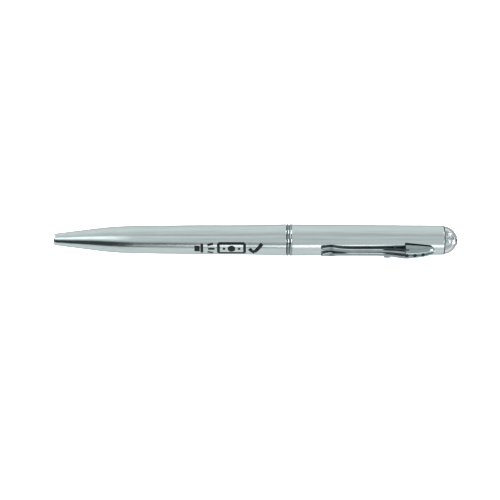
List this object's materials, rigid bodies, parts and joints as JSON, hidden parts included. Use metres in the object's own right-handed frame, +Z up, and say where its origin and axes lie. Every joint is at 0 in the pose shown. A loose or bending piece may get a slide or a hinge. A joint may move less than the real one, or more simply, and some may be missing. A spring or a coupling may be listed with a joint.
{
  "type": "counterfeit detector pen",
  "caption": "Twist-action ballpoint pen with a pocket clip and a push-button ultraviolet lamp behind a clear dome, for checking banknotes.",
  "frame": {"origin": "on the pen's axis, in the middle of the straight 16 mm grip stretch of the lower barrel, 57 mm behind the nose face", "axes": "+X along the axis from the nose to the lamp, +Z up as the pen lies on a table, rolled until its clip head comes down to the surface, so the clip points 32 degrees below -Y"},
  "size_m": [0.1368, 0.013, 0.0116],
  "materials": {
    "barrel_aluminium": "brushed lengthwise",
    "chrome_trim": "polished",
    "black_enamel": "gloss",
    "mechanism_plastic": "moulded",
    "carrier_plastic": "moulded",
    "holder_plastic": "moulded",
    "button_plastic": "satin",
    "clear_acrylic": "polished clear",
    "led_epoxy": "clear epoxy",
    "board_laminate": "solder mask",
    "cell_steel": "nickel plated",
    "spring_steel": "drawn wire",
    "ball_steel": "ground",
    "refill_brass": "turned",
    "refill_plastic": "extruded",
    "ink_paste": "wet",
    "seal_rubber": "moulded"
  },
  "bodies": {
    "lower": {"lower_barrel": "barrel_aluminium", "return_spring": "spring_steel", "mech_guide": "mechanism_plastic", "retaining_ring": "spring_steel"},
    "refill": {"writing_ball": "ball_steel", "refill_tip": "refill_brass", "refill_tube": "refill_plastic", "refill_ink": "ink_paste", "refill_stop": "refill_plastic", "spring_collar": "refill_brass", "pusher": "mechanism_plastic", "cam_pin": "ball_steel"},
    "rotor": {"cam_sleeve": "mechanism_plastic", "centre_ring": "chrome_trim", "joint_plug": "mechanism_plastic", "grip_o_ring": "seal_rubber", "contact_spring": "spring_steel"},
    "upper": {"upper_barrel": "barrel_aluminium", "clip_head": "chrome_trim", "clip_studs": "black_enamel", "clip_rivets": "spring_steel", "cell_1": "cell_steel", "cell_2": "cell_steel", "cell_3": "cell_steel", "cell_carrier": "carrier_plastic", "contact_plate": "refill_brass", "contact_tab": "refill_brass", "circuit_board": "board_laminate", "switch_case": "carrier_plastic", "resistor": "carrier_plastic", "led_holder": "holder_plastic", "led_lens": "led_epoxy", "led_leads": "spring_steel", "dome_lens": "clear_acrylic"},
    "clip": {"clip_arm": "chrome_trim"},
    "button": {"push_button": "button_plastic", "switch_plunger": "carrier_plastic"}
  },
  "joints": [
    {"name": "twist", "type": "hinge", "parent": "lower", "child": "rotor", "pos_m": [0.0216, 0, 0], "axis": [1, 0, 0], "range_deg": [0, 180]},
    {"name": "refill_advance", "type": "slide", "parent": "lower", "child": "refill", "axis": [-1, 0, 0], "range_m": [0, 0.0045], "deforming": ["return_spring"]},
    {"name": "upper_barrel_pull", "type": "slide", "parent": "rotor", "child": "upper", "axis": [1, 0, 0], "range_m": [0, 0.03]},
    {"name": "clip_flex", "type": "hinge", "parent": "upper", "child": "clip", "pos_m": [0.0624, -0.00568, -0.00355], "axis": [0, -0.5299, 0.848], "range_deg": [0, 4], "stiffness_Nm_per_rad": 1.5},
    {"name": "uv_button", "type": "slide", "parent": "upper", "child": "button", "axis": [0, 0.1392, 0.9903], "range_m": [0, 0.00045], "stiffness_N_per_m": 3000}
  ],
  "couplings": [
    {"joint": "refill_advance", "follows": "twist", "m_per_rad": 0.0014324}
  ]
}
